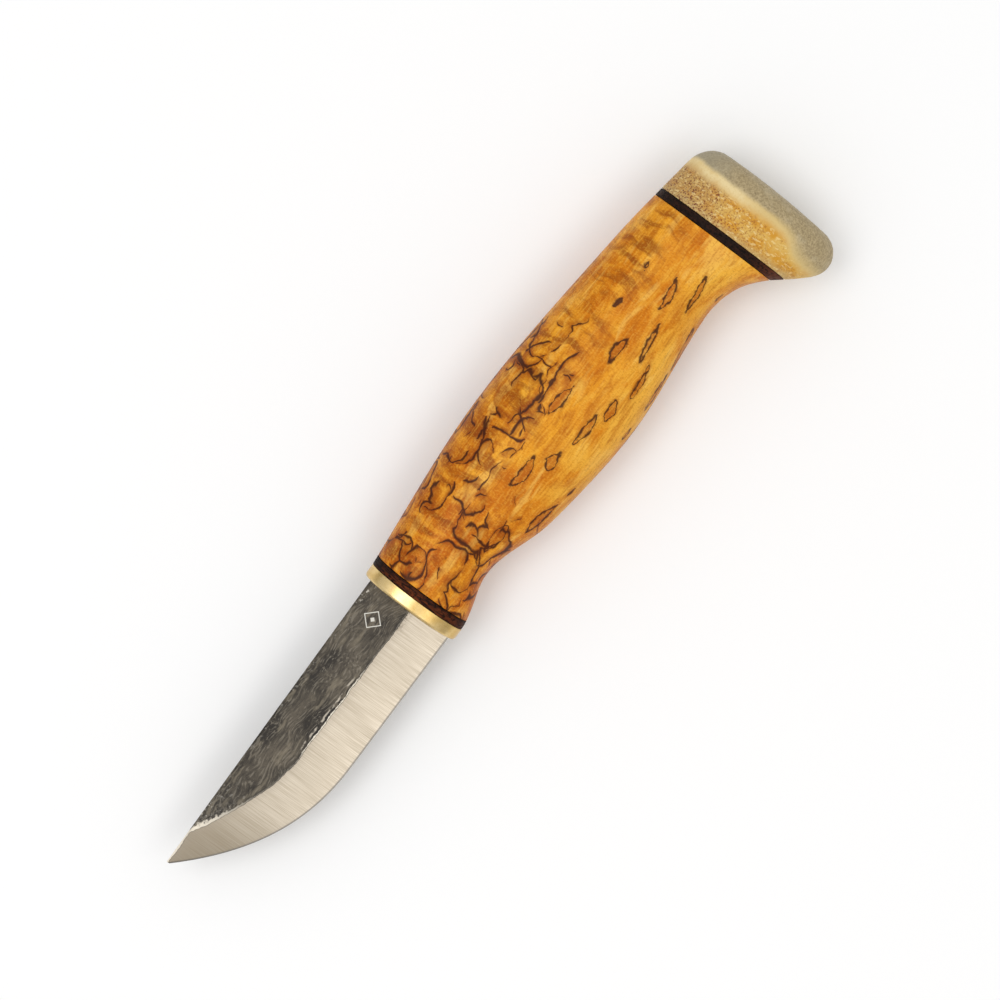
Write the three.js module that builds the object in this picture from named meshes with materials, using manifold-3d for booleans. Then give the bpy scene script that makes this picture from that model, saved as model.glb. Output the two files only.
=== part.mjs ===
// A northern fixed-blade knife with a hidden tang.
//
// One forging makes the blade and its tang. The tang runs back through a brass bolster, a front
// spacer, a curly-birch grip and a rear spacer, and ends blind in an antler pommel. An epoxy bed
// fills the room round it. Nothing moves.
//
// Millimetres. The knife lies on its side: the pommel points to +X, the back of the blade to +Y,
// and the thickness is along Z. While it is built, X = 0 is the front face of the bolster, and
// Y = 0 and Z = 0 are the middle of the tang. The last lines move it, so that the origin is under
// the middle of the knife, on the surface that it lies on.

import * as THREE from 'three';
import { mergeVertices } from 'three/addons/utils/BufferGeometryUtils.js';
import Module from 'manifold-3d';

const wasm = await Module();
wasm.setup();

// ---- driving dimensions -------------------------------------------------------------------

// Blade
const bladeLength = 78.6; // bolster to point
const bladeThickness = 3.2; // between the forged flats
const backRise = 11.2; // middle of the tang up to the back, at the bolster
const pointRise = 10.1; // middle of the tang up to the point
const edgeDrop = 10.3; // middle of the tang down to the straight edge
const straightEdgeLength = 36; // edge before it sweeps up
const edgeSweepPower = 2.25; // 1 is a straight run to the point, more is a fuller belly
const grindRise = 0.1; // middle of the tang up to the top of the ground bevel
const straightGrindLength = 42; // top of the bevel before it sweeps up
const grindSweepPower = 1.6;
const grindEndFromPoint = 8.3; // where the bevel reaches the back
const parallelFlatLength = 40; // flats before they thin towards the point
const backThicknessAtGrindEnd = 2;
const pointThickness = 0.5;
const pointHeight = 0.7;
const edgeThickness = 0.25;
const backLand = 0.4; // narrow strip of flat kept along the back at the point

// Tang
const tangSeat = 7.2; // how deep the tang goes into the pommel
const tangWidth = 11; // at the bolster
const tangEndWidth = 7;
const rootOverlap = 0.05; // how far the tang starts inside the blade, so that the two join

// Stack of pieces behind the blade
const bolsterThickness = 3;
const bolsterRimRadius = 0.7;
const frontSpacerThickness = 2;
const gripLength = 100.5;
const rearSpacerThickness = 1.9;
const pommelLength = 14.6;
const pommelRoundLength = 6.4; // rounding of the butt, along the knife
const pommelRoundDepth = 5.4; // the same rounding, across the knife
const buttLean = 0.035; // how far the butt leans forward for each millimetre down

// Outline of the handle, measured from the middle of the tang
const neckRise = 12.8;
const neckDrop = 11.8;
const collarDrop = 11.3; // belly where the grip begins
const notchFromFront = 11; // forefinger notch in the belly
const notchDrop = 8.6;
const rampFromFront = 29; // belly between notch and palm swell
const rampDrop = 13.3;
const palmFromFront = 56; // fullest belly
const palmDrop = 15.8;
const crownFromFront = 41; // fullest back
const crownRise = 16.3;
const waistFromRear = 12.7; // slimmest place behind the palm
const waistRise = 13.3;
const waistDrop = 13.3;
const flareFromRear = 4.4; // belly where the beak begins to spread
const flareDrop = 15.9;
const beakDrop = 28.4; // lowest point of the pommel's beak
const beakFromRear = 7; // beak's lowest point, in front of the butt
const pommelRise = 9.4;

// Half of the thickness of the handle
const neckHalf = 8.8;
const notchHalf = 10;
const palmHalf = 12.4;
const waistHalf = 11.3;
const pommelHalf = 12;
const ovalPower = 2.15; // 2 is an ellipse, more is squarer

// Bore for the tang, and its fits
const boreRoomAcross = 1.5; // round the tang, along Y
const boreRoomThick = 1.7; // round the tang, along Z
const boreRoomEnd = 2; // past the end of the tang
const slotRoom = 0.3; // round the tang in bolster and front spacer
const fitGap = 0.3; // between the epoxy bed and what it touches
const glueLine = 0.1; // between the stacked faces
const cutPast = 2; // how far a cutting shape runs past the face that it cuts

// How finely the round shapes are cut
const ovalSides = 40;
const bladeStep = 3;
const gripStep = 4.5;
const pommelSteps = 12;

// ---- places that follow from them ---------------------------------------------------------

const bolsterBack = bolsterThickness;
const frontSpacerFront = bolsterBack + glueLine;
const frontSpacerBack = frontSpacerFront + frontSpacerThickness;
const gripFront = frontSpacerBack + glueLine;
const gripRear = gripFront + gripLength;
const rearSpacerFront = gripRear + glueLine;
const rearSpacerBack = rearSpacerFront + rearSpacerThickness;
const pommelFront = rearSpacerBack + glueLine;
const buttEnd = pommelFront + pommelLength;

const bladeShoulder = -glueLine;
const tangThickness = bladeThickness - 2 * slotRoom; // so that the blade hides the slot
const tangEnd = pommelFront + tangSeat;
const boreEnd = tangEnd + boreRoomEnd;

// ---- helpers ------------------------------------------------------------------------------

// A smooth curve y(x) through a few points, with each slope set by its two neighbours.
function smoothThrough(points) {
  const slopes = points.map((point, i) => {
    const before = points[Math.max(i - 1, 0)];
    const after = points[Math.min(i + 1, points.length - 1)];
    const left = (point[1] - before[1]) / Math.max(point[0] - before[0], 1e-9);
    const right = (after[1] - point[1]) / Math.max(after[0] - point[0], 1e-9);
    if (i === 0) return right;
    if (i === points.length - 1) return left;
    // A turning point is level, so that the curve has no bump past it.
    if (left * right <= 0) return 0;
    return (2 * left * right) / (left + right);
  });
  return (x) => {
    let i = 0;
    while (i < points.length - 2 && x > points[i + 1][0]) i += 1;
    const [x0, y0] = points[i];
    const [x1, y1] = points[i + 1];
    const span = x1 - x0;
    const t = THREE.MathUtils.clamp((x - x0) / span, 0, 1);
    const stay = (1 + 2 * t) * (1 - t) * (1 - t);
    const leave = t * (1 - t) * (1 - t) * span;
    const arrive = t * t * (t - 1) * span;
    return stay * y0 + leave * slopes[i] + (1 - stay) * y1 + arrive * slopes[i + 1];
  };
}

// Values from start to end, evenly spaced and no further apart than step.
function stations(start, end, step) {
  const count = Math.max(1, Math.ceil(Math.abs(end - start) / step));
  return Array.from({ length: count + 1 }, (_, i) => start + ((end - start) * i) / count);
}

// A closed solid along X. It begins as a capped cylinder, and each of its rings then takes the
// shape that pointAt(place, turn, reach) gives: place is the ring's entry in places, turn is the
// angle round it, and reach is 1 on the ring and 0 at the middle of a cap.
function loft(places, sides, pointAt) {
  const blank = new THREE.CylinderGeometry(
    1, 1, 1, sides, places.length - 1, false, Math.PI / 2,
  );
  const position = blank.getAttribute('position');
  for (let i = 0; i < position.count; i += 1) {
    const along = 0.5 - position.getY(i);
    const ring = Math.round(along * (places.length - 1));
    const reach = Math.hypot(position.getX(i), position.getZ(i)) > 0.5 ? 1 : 0;
    const turn = Math.atan2(position.getZ(i), position.getX(i));
    const side = (Math.round((turn / (2 * Math.PI)) * sides) + sides) % sides;
    const point = pointAt(places[ring], side / sides, reach);
    position.setXYZ(i, point[0], point[1], point[2]);
  }
  blank.deleteAttribute('normal');
  blank.deleteAttribute('uv');
  return mergeVertices(blank, 1e-5);
}

function toSolid(geometry) {
  const plain = geometry.clone();
  plain.deleteAttribute('normal');
  plain.deleteAttribute('uv');
  const merged = mergeVertices(plain, 1e-5);
  return new wasm.Manifold(
    new wasm.Mesh({
      numProp: 3,
      vertProperties: new Float32Array(merged.getAttribute('position').array),
      triVerts: new Uint32Array(merged.getIndex().array),
    }),
  );
}

function toGeometry(solid) {
  const mesh = solid.getMesh();
  const geometry = new THREE.BufferGeometry();
  geometry.setAttribute('position', new THREE.BufferAttribute(mesh.vertProperties, 3));
  geometry.setIndex(new THREE.BufferAttribute(mesh.triVerts, 1));
  geometry.computeVertexNormals();
  return geometry;
}

function piece(name, solid, color, roughness, metalness) {
  const material = new THREE.MeshStandardMaterial({ color, roughness, metalness });
  const mesh = new THREE.Mesh(toGeometry(solid), material);
  mesh.name = name;
  return mesh;
}

// ---- handle outline -----------------------------------------------------------------------

const backOutline = smoothThrough([
  [0, neckRise],
  [gripFront + crownFromFront, crownRise],
  [gripRear - waistFromRear, waistRise],
  [buttEnd, pommelRise],
]);

const bellyOutline = smoothThrough([
  [0, neckDrop],
  [gripFront, collarDrop],
  [gripFront + notchFromFront, notchDrop],
  [gripFront + rampFromFront, rampDrop],
  [gripFront + palmFromFront, palmDrop],
  [gripRear - waistFromRear, waistDrop],
  [gripRear - flareFromRear, flareDrop],
  [buttEnd - beakFromRear, beakDrop],
  [buttEnd, beakDrop],
]);

const halfThickness = smoothThrough([
  [0, neckHalf],
  [gripFront + notchFromFront, notchHalf],
  [gripFront + palmFromFront, palmHalf],
  [gripRear - waistFromRear, waistHalf],
  [buttEnd, pommelHalf],
]);

// A point on the handle's oval at x, drawn in by inset. The turn goes from the back of the knife
// round to the belly and on.
function ovalPoint(x, turn, reach, inset) {
  const rise = backOutline(x) - inset;
  const drop = bellyOutline(x) - inset;
  const half = halfThickness(x) - inset;
  const angle = turn * 2 * Math.PI;
  const power = 2 / ovalPower;
  const up = Math.sign(Math.cos(angle)) * Math.abs(Math.cos(angle)) ** power;
  const out = Math.sign(Math.sin(angle)) * Math.abs(Math.sin(angle)) ** power;
  return [x, (rise - drop) / 2 + (reach * up * (rise + drop)) / 2, reach * out * half];
}

function ovalBlock(start, end, step) {
  return toSolid(
    loft(stations(start, end, step), ovalSides, (x, turn, reach) => ovalPoint(x, turn, reach, 0)),
  );
}

// ---- tang and its bore --------------------------------------------------------------------

// A flat bar along X from start to end, seen from the side as a plain tapered outline.
function flatBar(start, end, startWidth, endWidth, thickness) {
  const outline = new THREE.Shape();
  outline.moveTo(start, -startWidth / 2);
  outline.lineTo(end, -endWidth / 2);
  outline.lineTo(end, endWidth / 2);
  outline.lineTo(start, startWidth / 2);
  outline.closePath();
  const bar = new THREE.ExtrudeGeometry(outline, { depth: thickness, bevelEnabled: false });
  bar.translate(0, 0, -thickness / 2);
  return toSolid(bar);
}

const tangTaper = (tangWidth - tangEndWidth) / tangEnd;
const tangWidthAt = (x) => tangWidth - tangTaper * x;

// The tang's own taper, grown on every side by room, from start to past its end by room.
function grownTang(start, room) {
  const end = tangEnd + room;
  return flatBar(
    start,
    end,
    tangWidthAt(start) + 2 * room,
    tangWidthAt(end) + 2 * room,
    tangThickness + 2 * room,
  );
}

const boreWidth = tangWidth + 2 * boreRoomAcross;
const boreThickness = tangThickness + 2 * boreRoomThick;

// The bore is as wide as two drill holes side by side with the wood between them cleared.
function boreBlock(start, end, inset) {
  const width = boreWidth - 2 * inset;
  const thickness = boreThickness - 2 * inset;
  const outline = new THREE.Shape();
  const round = thickness / 2;
  const straight = width / 2 - round;
  outline.absarc(straight, 0, round, -Math.PI / 2, Math.PI / 2, false);
  outline.absarc(-straight, 0, round, Math.PI / 2, (3 * Math.PI) / 2, false);
  outline.closePath();
  const block = new THREE.ExtrudeGeometry(outline, {
    depth: end - start,
    bevelEnabled: false,
    curveSegments: 8,
  });
  // Drawn in XY and pulled along Z, it is turned so that its length is along X.
  block.rotateZ(Math.PI / 2);
  block.rotateY(Math.PI / 2);
  block.translate(start, 0, 0);
  return toSolid(block);
}

// ---- blade --------------------------------------------------------------------------------

const pointX = -bladeLength;
const grindEndX = pointX + grindEndFromPoint;

const backAt = (x) => THREE.MathUtils.mapLinear(x, 0, pointX, backRise, pointRise);

function edgeAt(x) {
  const lowestPoint = pointRise - pointHeight;
  const swept = (-straightEdgeLength - x) / (bladeLength - straightEdgeLength);
  const s = THREE.MathUtils.clamp(swept, 0, 1);
  return -edgeDrop + s ** edgeSweepPower * (lowestPoint + edgeDrop);
}

function grindAt(x) {
  const swept = (-straightGrindLength - x) / (-grindEndX - straightGrindLength);
  const s = THREE.MathUtils.clamp(swept, 0, 1);
  const top = backAt(x) - backLand;
  return grindRise + s ** grindSweepPower * (top - grindRise);
}

function bladeThicknessAt(x) {
  if (x > -parallelFlatLength) return bladeThickness;
  if (x > grindEndX) {
    return THREE.MathUtils.mapLinear(
      x, -parallelFlatLength, grindEndX, bladeThickness, backThicknessAtGrindEnd,
    );
  }
  return THREE.MathUtils.mapLinear(x, grindEndX, pointX, backThicknessAtGrindEnd, pointThickness);
}

// Six corners round the blade: back, top of the bevel and edge on one side, and the same three
// on the other.
function bladePoint(x, turn, reach) {
  const corner = Math.round(turn * 6) % 6;
  const half = bladeThicknessAt(x) / 2;
  const edgeHalf = Math.min(edgeThickness / 2, half);
  const grind = Math.max(grindAt(x), edgeAt(x) + backLand / 2);
  const corners = [
    [backAt(x), half],
    [grind, half],
    [edgeAt(x), edgeHalf],
    [edgeAt(x), -edgeHalf],
    [grind, -half],
    [backAt(x), -half],
  ];
  const middle = (backAt(x) + edgeAt(x)) / 2;
  const [y, z] = reach ? corners[corner] : [middle, 0];
  return [x, y, z];
}

const bladePlaces = [
  ...stations(pointX, grindEndX, bladeStep / 2),
  ...stations(grindEndX, -parallelFlatLength, bladeStep).slice(1),
  ...stations(-parallelFlatLength, bladeShoulder, bladeStep * 2).slice(1),
];
const tangRoot = bladeShoulder - rootOverlap;
const blade = toSolid(loft(bladePlaces, 6, bladePoint)).add(
  flatBar(tangRoot, tangEnd, tangWidthAt(tangRoot), tangEndWidth, tangThickness),
);

// ---- pieces behind the blade --------------------------------------------------------------

const passage = grownTang(-cutPast, slotRoom);

// The rim of the bolster's front face is a quarter round.
const rimSteps = 4;
const bolsterRings = [
  ...Array.from({ length: rimSteps + 1 }, (_, i) => {
    const angle = (i / rimSteps) * (Math.PI / 2);
    return {
      x: bolsterRimRadius * (1 - Math.cos(angle)),
      inset: bolsterRimRadius * (1 - Math.sin(angle)),
    };
  }),
  { x: bolsterBack, inset: 0 },
];
const bolster = toSolid(
  loft(bolsterRings, ovalSides, (ring, turn, reach) => ovalPoint(ring.x, turn, reach, ring.inset)),
).subtract(passage);

const frontSpacer = ovalBlock(frontSpacerFront, frontSpacerBack, gripStep).subtract(passage);

const bore = boreBlock(gripFront - cutPast, boreEnd, 0);
const grip = ovalBlock(gripFront, gripRear, gripStep).subtract(bore);
const rearSpacer = ovalBlock(rearSpacerFront, rearSpacerBack, gripStep).subtract(bore);

// The butt is rounded all over, and leans so that the beak is a little in front of the back.
const roundStart = buttEnd - pommelRoundLength;
const straightRings = stations(pommelFront, roundStart, gripStep / 2).map((x) => ({ x, inset: 0 }));
const roundRings = Array.from({ length: pommelSteps }, (_, i) => {
  const angle = ((i + 1) / pommelSteps) * (Math.PI / 2);
  return {
    x: roundStart + pommelRoundLength * Math.sin(angle),
    inset: pommelRoundDepth * (1 - Math.cos(angle)),
  };
});
function pommelPoint(ring, turn, reach) {
  const [x, y, z] = ovalPoint(ring.x, turn, reach, ring.inset);
  const share = (x - pommelFront) / pommelLength;
  const lean = Math.max(backOutline(x) - y, 0) * buttLean * share * share;
  return [x - lean, y, z];
}
const pommel = toSolid(loft([...straightRings, ...roundRings], ovalSides, pommelPoint)).subtract(bore);

// The epoxy bed is the bore's own shape with the tang's left out of it, open at the front.
const bedFront = gripFront;
const bedEnd = boreEnd - fitGap;
const epoxyBed = boreBlock(bedFront, bedEnd, fitGap).subtract(
  grownTang(bedFront - cutPast, fitGap),
);

// ---- the knife ----------------------------------------------------------------------------

const knife = new THREE.Group();
knife.add(
  piece('blade', blade, 0x6b655c, 0.45, 0.9),
  piece('bolster', bolster, 0xc9a24a, 0.3, 1.0),
  piece('front_spacer', frontSpacer, 0x3a1c10, 0.6, 0.0),
  piece('grip', grip, 0xc9822e, 0.4, 0.0),
  piece('rear_spacer', rearSpacer, 0x1d1512, 0.6, 0.0),
  piece('pommel', pommel, 0xcdb98a, 0.55, 0.0),
  piece('epoxy_bed', epoxyBed, 0xd8c38a, 0.5, 0.0),
);

// The origin goes under the middle of the knife, on the surface that it lies on.
const box = new THREE.Box3().setFromObject(knife, true);
const middle = box.getCenter(new THREE.Vector3());
knife.position.set(-middle.x, -middle.y, -box.min.z);

export default knife;
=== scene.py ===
# %% [markdown]
# A fixed-blade knife with a hidden tang.
#
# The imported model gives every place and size. Each visible part of the knife is then modelled
# again with more detail round that frame, and gets a finish made from nodes: forged and ground
# steel, brass, dark spacers, curly birch and antler.

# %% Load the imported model
import math
from collections import namedtuple

import bmesh
import bpy
import numpy as np
from mathutils import Matrix, Vector, noise


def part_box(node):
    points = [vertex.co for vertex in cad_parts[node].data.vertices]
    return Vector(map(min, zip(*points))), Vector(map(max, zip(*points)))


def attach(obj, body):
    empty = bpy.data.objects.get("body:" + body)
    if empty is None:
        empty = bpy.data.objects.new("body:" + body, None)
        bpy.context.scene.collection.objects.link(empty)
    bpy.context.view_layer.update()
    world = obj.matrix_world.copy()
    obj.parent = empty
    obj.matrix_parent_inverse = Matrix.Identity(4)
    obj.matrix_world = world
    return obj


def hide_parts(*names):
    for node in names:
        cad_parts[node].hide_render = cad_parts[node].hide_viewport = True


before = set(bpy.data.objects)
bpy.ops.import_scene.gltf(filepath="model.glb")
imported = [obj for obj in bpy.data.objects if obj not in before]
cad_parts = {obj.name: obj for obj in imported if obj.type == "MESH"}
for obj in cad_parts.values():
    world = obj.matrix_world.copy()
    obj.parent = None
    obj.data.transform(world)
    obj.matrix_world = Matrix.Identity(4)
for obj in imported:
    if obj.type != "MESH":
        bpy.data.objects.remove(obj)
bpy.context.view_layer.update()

MM = 0.001
bpy.ops.object.select_all(action="DESELECT")

# %% [markdown]
# The knife lies flat on its side and the camera looks down on it, turned so that the pommel
# points up and to the right. It stands a little towards the pommel and looks back at the knife's
# middle, so the joints near the blade curve more than those near the butt. A long lens keeps the
# outline almost free of perspective, as in a catalogue picture.

# %% Set the camera
middle_z = (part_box("blade")[0].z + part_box("blade")[1].z) / 2
camera_height = 0.81
camera_lean = 60 * MM
seen_width = 0.2217
knife_turn = 53.2
aim = Vector((9.4 * MM, 4.9 * MM, middle_z))
stand = Vector((camera_lean, 0, camera_height))

camera = bpy.data.objects.new("camera", bpy.data.cameras.new("camera"))
camera.data.lens = camera.data.sensor_width * stand.length / seen_width
camera.location = aim + stand
tilt = Matrix.Rotation(math.atan2(camera_lean, camera_height), 3, "Y")
turn = Matrix.Rotation(math.radians(-knife_turn), 3, "Z")
camera.rotation_euler = (tilt @ turn).to_euler()
bpy.context.scene.collection.objects.link(camera)
bpy.context.scene.camera = camera
print("lens in mm:", round(camera.data.lens, 1))

# %% [markdown]
# The light is a pale room with two soft boxes. The room is brightest overhead and dimmer towards
# the horizon, so round pieces darken at their sides and metal has something dark to mirror. The
# large box overhead gives the brass and the oiled wood their broad highlight. The other hangs on
# the side of the cutting edge, where the ground bevel mirrors it, so the bevel is bright while the
# forged flats stay dark.

# %% Light the room
horizon_light = 0.42
zenith_light = 0.98
world = bpy.data.worlds.new("pale_room")
bpy.context.scene.world = world
world.use_nodes = True
room = world.node_tree
room.nodes["Background"].inputs["Color"].default_value = (1, 1, 1, 1)
direction = room.nodes.new("ShaderNodeTexCoord")
height = room.nodes.new("ShaderNodeSeparateXYZ")
brightness = room.nodes.new("ShaderNodeMapRange")
brightness.inputs["To Min"].default_value = horizon_light
brightness.inputs["To Max"].default_value = zenith_light
room.links.new(direction.outputs["Generated"], height.inputs[0])
room.links.new(height.outputs["Z"], brightness.inputs["Value"])
room.links.new(brightness.outputs["Result"], room.nodes["Background"].inputs["Strength"])
bpy.context.scene.view_settings.view_transform = "Standard"


def hang_softbox(name, place, size, power, tint=(1, 1, 1)):
    lamp = bpy.data.lights.new(name, "AREA")
    lamp.shape = "RECTANGLE"
    lamp.size, lamp.size_y = size
    lamp.energy = power
    lamp.color = tint
    box = bpy.data.objects.new(name, lamp)
    box.location = place
    box.rotation_mode = "QUATERNION"
    box.rotation_quaternion = (-Vector(place)).to_track_quat("-Z", "Y")
    bpy.context.scene.collection.objects.link(box)


hang_softbox("overhead", (-0.15, 0.35, 1.15), (0.7, 0.5), 2.9)
hang_softbox("edge_side", (0.0, -0.5, 1.05), (1.0, 0.4), 1.5, (1, 0.98, 0.95))

# %% [markdown]
# The floor is one large pale sheet.

# %% Lay the floor
bpy.ops.mesh.primitive_plane_add(size=12)
floor = bpy.context.object
floor.name = "floor"
floor_paint = bpy.data.materials.new("floor_paint")
floor_paint.use_nodes = True
paint = floor_paint.node_tree.nodes["Principled BSDF"].inputs
paint["Base Color"].default_value = (0.95, 0.95, 0.95, 1)
paint["Roughness"].default_value = 0.9
paint["Specular IOR Level"].default_value = 0
floor.data.materials.append(floor_paint)
bpy.ops.object.select_all(action="DESELECT")

# %% [markdown]
# A finish is one Principled shader and the nodes that feed it. Writing nodes out one by one is
# long, so this class gives each kind of node a short name. Places are in millimetres, read from
# Object coordinates, so a pattern runs through a piece as grain runs through wood.

# %% A short way to write finishes
def tone(red, green, blue):
    """A screen colour, 0 to 255, as the light values that a shader takes."""
    def light(c):
        c = c / 255
        return c / 12.92 if c <= 0.04045 else ((c + 0.055) / 1.055) ** 2.4
    return (light(red), light(green), light(blue), 1)


class Finish:
    def __init__(self, name):
        self.material = bpy.data.materials.new(name)
        self.material.use_nodes = True
        self.tree = self.material.node_tree
        self.shader = self.tree.nodes["Principled BSDF"]
        where = self.node("TexCoord", {}).outputs["Object"]
        self.place = self.moved(where, scale=(1 / MM,) * 3)

    def feed(self, socket, value):
        if isinstance(value, bpy.types.NodeSocket):
            self.tree.links.new(value, socket)
        else:
            socket.default_value = value

    def node(self, kind, feeds, **settings):
        """A new node, with what goes into its sockets, by name or number, and its settings."""
        node = self.tree.nodes.new("ShaderNode" + kind)
        for name, value in settings.items():
            setattr(node, name, value)
        for socket, value in feeds.items():
            self.feed(node.inputs[socket], value)
        return node

    def moved(self, where, scale=(1, 1, 1), shift=(0, 0, 0), turn=(0, 0, 0)):
        turned = [math.radians(a) for a in turn]
        feeds = {"Vector": where, "Scale": scale, "Location": shift, "Rotation": turned}
        return self.node("Mapping", feeds).outputs["Vector"]

    def noise(self, where, size, detail=3, roughness=0.5, distortion=0.0, out="Fac"):
        """Soft noise whose lumps are about size millimetres across."""
        feeds = {"Vector": where, "Scale": 1 / size, "Detail": detail, "Roughness": roughness,
                 "Distortion": distortion}
        return self.node("TexNoise", feeds).outputs[out]

    def uneven(self, size, detail, spread):
        """Noise with lumps of this size, up and down from 0 by up to half of spread."""
        return self.times(self.minus(self.noise(self.place, size, detail=detail), 0.5), spread)

    def cells(self, where, size, feature="F1"):
        """Millimetres to the nearest cell centre, or to the nearest cell wall, on a flat sheet."""
        feeds = {"Vector": where, "Scale": 1 / size}
        cells = self.node("TexVoronoi", feeds, voronoi_dimensions="2D", feature=feature)
        return self.times(cells.outputs["Distance"], size)

    def math(self, operation, a, b=0.0):
        return self.node("Math", {0: a, 1: b}, operation=operation).outputs[0]

    def plus(self, a, b):
        return self.math("ADD", a, b)

    def minus(self, a, b):
        return self.math("SUBTRACT", a, b)

    def absolute(self, a):
        return self.math("ABSOLUTE", a)

    def most(self, a, b):
        return self.math("MAXIMUM", a, b)

    def times(self, *values):
        product = values[0]
        for value in values[1:]:
            product = self.math("MULTIPLY", product, value)
        return product

    def rise(self, value, low, high, start=0.0, end=1.0):
        """Goes smoothly from start to end while value goes from low to high."""
        feeds = dict(enumerate((value, low, high, start, end)))
        return self.node("MapRange", feeds, interpolation_type="SMOOTHSTEP").outputs[0]

    def mix(self, a, b, *shares):
        """Goes from a to b by the product of the shares."""
        feeds = {0: self.times(*shares), 6: a, 7: b}
        return self.node("Mix", feeds, data_type="RGBA").outputs[2]

    def over(self, colour, tint, value, low, high, share):
        """Lays up to a share of a tint over a colour while value goes from low to high."""
        return self.mix(colour, tint, self.rise(value, low, high), share)

    def warped(self, where, size, amount):
        """The same places, each pushed up to half of amount millimetres by noise."""
        push = self.noise(where, size, detail=2, out="Color")
        centred = self.node("VectorMath", {0: push, 1: (0.5,) * 3}, operation="SUBTRACT")
        feeds = {0: centred.outputs[0], 1: (amount,) * 3, 2: where}
        return self.node("VectorMath", feeds, operation="MULTIPLY_ADD").outputs[0]

    def axes(self, where=None):
        return self.node("SeparateXYZ", {0: where or self.place}).outputs[:3]

    def measured(self, name, out="Fac"):
        """A value, or with out="Vector" a place, stored on the mesh under this name."""
        return self.node("Attribute", {}, attribute_name=name).outputs[out]

    def relief(self, height, depth, under=None):
        """Bump of the given depth in millimetres, on top of an earlier one."""
        feeds = {"Distance": depth * MM, "Height": height}
        if under is not None:
            feeds["Normal"] = under
        return self.node("Bump", feeds).outputs["Normal"]

    def wear(self, **sockets):
        for name, value in sockets.items():
            self.feed(self.shader.inputs[name.replace("_", " ")], value)
        return self.material


# %% [markdown]
# Behind the bolster the handle is one flowing outline that four pieces share. Drawing each piece
# by itself would leave steps at the joins. Here the outline is measured once on the CAD pieces
# and made into smooth curves, and the four pieces are cut from those.

# %% Measure the handle
TOUCH = 1e-7  # a cut at the very end of a piece is moved inside by this


def points_of(mesh):
    points = np.empty(len(mesh.vertices) * 3)
    mesh.vertices.foreach_get("co", points)
    return points.reshape(-1, 3)


def cut_points(node, x):
    """The points where the plane at x cuts the edges of a CAD node."""
    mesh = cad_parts[node].data
    points = points_of(mesh)
    edges = np.empty(len(mesh.edges) * 2, dtype=np.int32)
    mesh.edges.foreach_get("vertices", edges)
    a = points[edges[::2]]
    b = points[edges[1::2]]
    crossing = (a[:, 0] - x) * (b[:, 0] - x) <= 0
    a, b = a[crossing], b[crossing]
    length = b[:, 0] - a[:, 0]
    share = np.where(np.abs(length) > 1e-9, (x - a[:, 0]) / np.where(length == 0, 1, length), 0)
    return a + (b - a) * np.clip(share, 0, 1)[:, None]


def slice_of(node, x):
    """Back, belly and half thickness of a CAD node at x."""
    cut = cut_points(node, x)
    return cut[:, 1].max(), cut[:, 1].min(), (cut[:, 2].max() - cut[:, 2].min()) / 2


def smooth_curve(places, values):
    """A curve through the values, with each slope taken from its neighbours."""
    slopes = np.gradient(values, places)

    def at(x):
        x = min(max(x, places[0]), places[-1])
        i = np.clip(np.searchsorted(places, x) - 1, 0, len(places) - 2)
        span = places[i + 1] - places[i]
        t = (x - places[i]) / span
        return (
            (1 + 2 * t) * (1 - t) ** 2 * values[i] + t * (1 - t) ** 2 * span * slopes[i]
            + t * t * (3 - 2 * t) * values[i + 1] + t * t * (t - 1) * span * slopes[i + 1]
        )
    return at


grip_low, grip_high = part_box("grip")
pommel_low, pommel_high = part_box("pommel")
butt_round = 6.4 * MM
round_start = pommel_high.x - butt_round

grip_x = sorted(set(np.round(points_of(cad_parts["grip"].data)[:, 0], 6)))
handle_x = [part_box("front_spacer")[0].x] + grip_x
handle_cut = [slice_of("front_spacer", handle_x[0] + TOUCH)]
for x in grip_x:
    handle_cut.append(slice_of("grip", min(max(x, grip_low.x + TOUCH), grip_high.x - TOUCH)))
for x in np.linspace(pommel_low.x + TOUCH, round_start, 7):
    handle_x.append(x)
    handle_cut.append(slice_of("pommel", x))
handle_x = np.array(handle_x)
handle_cut = np.array(handle_cut)
back_at, belly_at, half_at = [smooth_curve(handle_x, values) for values in handle_cut.T]
print("handle stations:", len(handle_x), " widest in mm:", round(2 * handle_cut[:, 2].max() / MM, 2))

# %% [markdown]
# Every handle piece is a stack of ovals. A circle is squared up a little, as a comfortable grip
# is, and then extruded, scaled and moved from one place to the next, like drawing out clay. A
# sharp corner needs two more rings close by, or the smoothing at the end would melt it.

# %% Rings that become solid pieces
SIDES = 72
OVAL = 2.15  # 2 is an ellipse, more is squarer
Ring = namedtuple("Ring", "x middle half_y half_z power")
steel_points = points_of(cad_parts["blade"].data)
tang_tip = steel_points[steel_points[:, 0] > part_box("blade")[1].x - 1e-5]
tang_y = float((tang_tip[:, 1].max() + tang_tip[:, 1].min()) / 2)


def outline_ring(x, inset=0.0):
    """Place, middle and halves of the handle's oval at x, drawn in by inset."""
    back, belly = float(back_at(x)), float(belly_at(x))
    return Ring(x, (back + belly) / 2, (back - belly) / 2 - inset, float(half_at(x)) - inset, OVAL)


def hole_ring(x, half_width, half_thickness, power):
    return Ring(x, tang_y, half_width, half_thickness, power)


def on_oval(ring, turn):
    """The ring's point at this turn, which is 0 at the back and a quarter turn on top."""
    c, s = math.cos(turn), math.sin(turn)
    across = math.copysign(abs(c) ** (2 / ring.power), c) * ring.half_y
    up = math.copysign(abs(s) ** (2 / ring.power), s) * ring.half_z
    return ring.x, ring.middle + across, middle_z + up


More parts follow.
